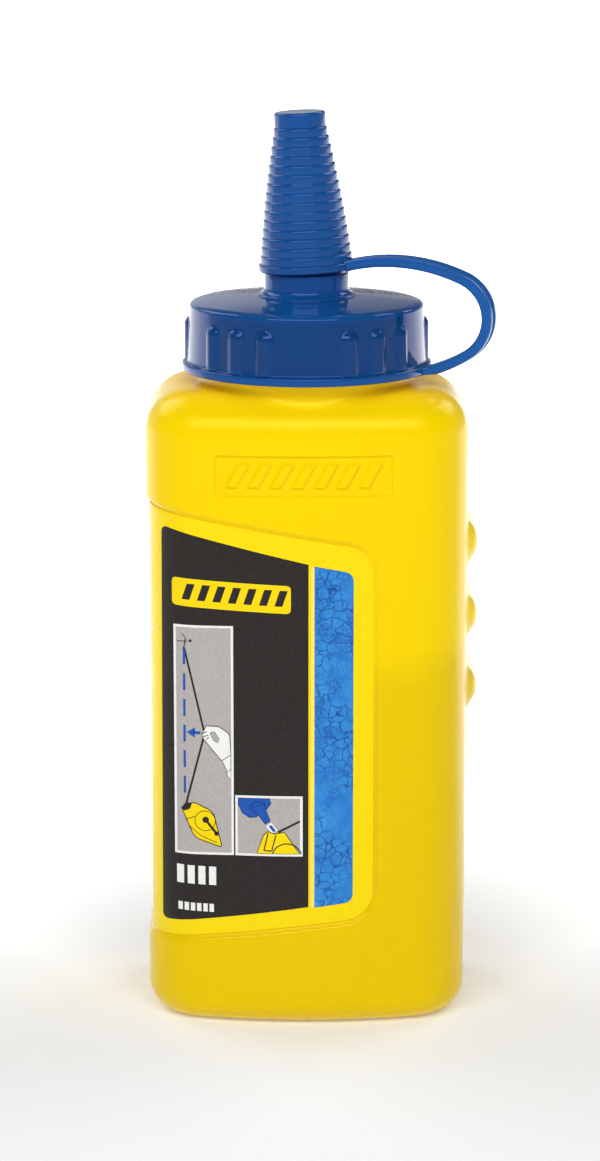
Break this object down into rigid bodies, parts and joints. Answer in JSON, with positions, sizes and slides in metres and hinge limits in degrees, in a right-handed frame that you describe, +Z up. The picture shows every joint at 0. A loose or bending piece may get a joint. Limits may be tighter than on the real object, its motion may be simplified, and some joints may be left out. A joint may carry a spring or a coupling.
{
  "type": "chalk powder squeeze bottle",
  "caption": "Flat-sided squeeze bottle of marking chalk with a recessed wrap label, side grip ribs, ribbed screw cap, pouring spout and a tethered terraced cover.",
  "frame": {"origin": "centre of the flat base, on the axis of the neck", "axes": "+Z up through the neck and spout, -Y the labelled front, +X the side with the grip ribs"},
  "size_m": [0.0575, 0.0416, 0.1518],
  "materials": {
    "bottle": "smooth blown polyethylene, slight gloss",
    "chalk": "fine dry powder",
    "label": "printed film",
    "liner": "foam",
    "cap": "moulded polypropylene, glossy",
    "cover": "moulded polypropylene, glossy",
    "strap": "thin moulded polypropylene"
  },
  "bodies": {
    "bottle": {"bottle": "bottle", "chalk_powder": "chalk", "wrap_label": "label"},
    "cap_liner": {"cap_liner": "liner"},
    "screw_cap": {"screw_cap": "cap", "tether_strap": "strap"},
    "nozzle_cover": {"nozzle_cover": "cover"}
  },
  "joints": [
    {"name": "cap_lift", "type": "slide", "parent": "bottle", "child": "cap_liner", "axis": [0, 0, 1], "range_m": [0, 0.0107]},
    {"name": "cap_turn", "type": "hinge", "parent": "cap_liner", "child": "screw_cap", "pos_m": [0, 0, 0.1178], "axis": [0, 0, 1], "range_deg": [0, 900]},
    {"name": "cover_lift", "type": "slide", "parent": "screw_cap", "child": "nozzle_cover", "axis": [0, 0, 1], "range_m": [0, 0.02], "deforming": ["tether_strap"]}
  ],
  "couplings": [
    {"joint": "cap_lift", "follows": "cap_turn", "m_per_rad": 0.0006737}
  ]
}
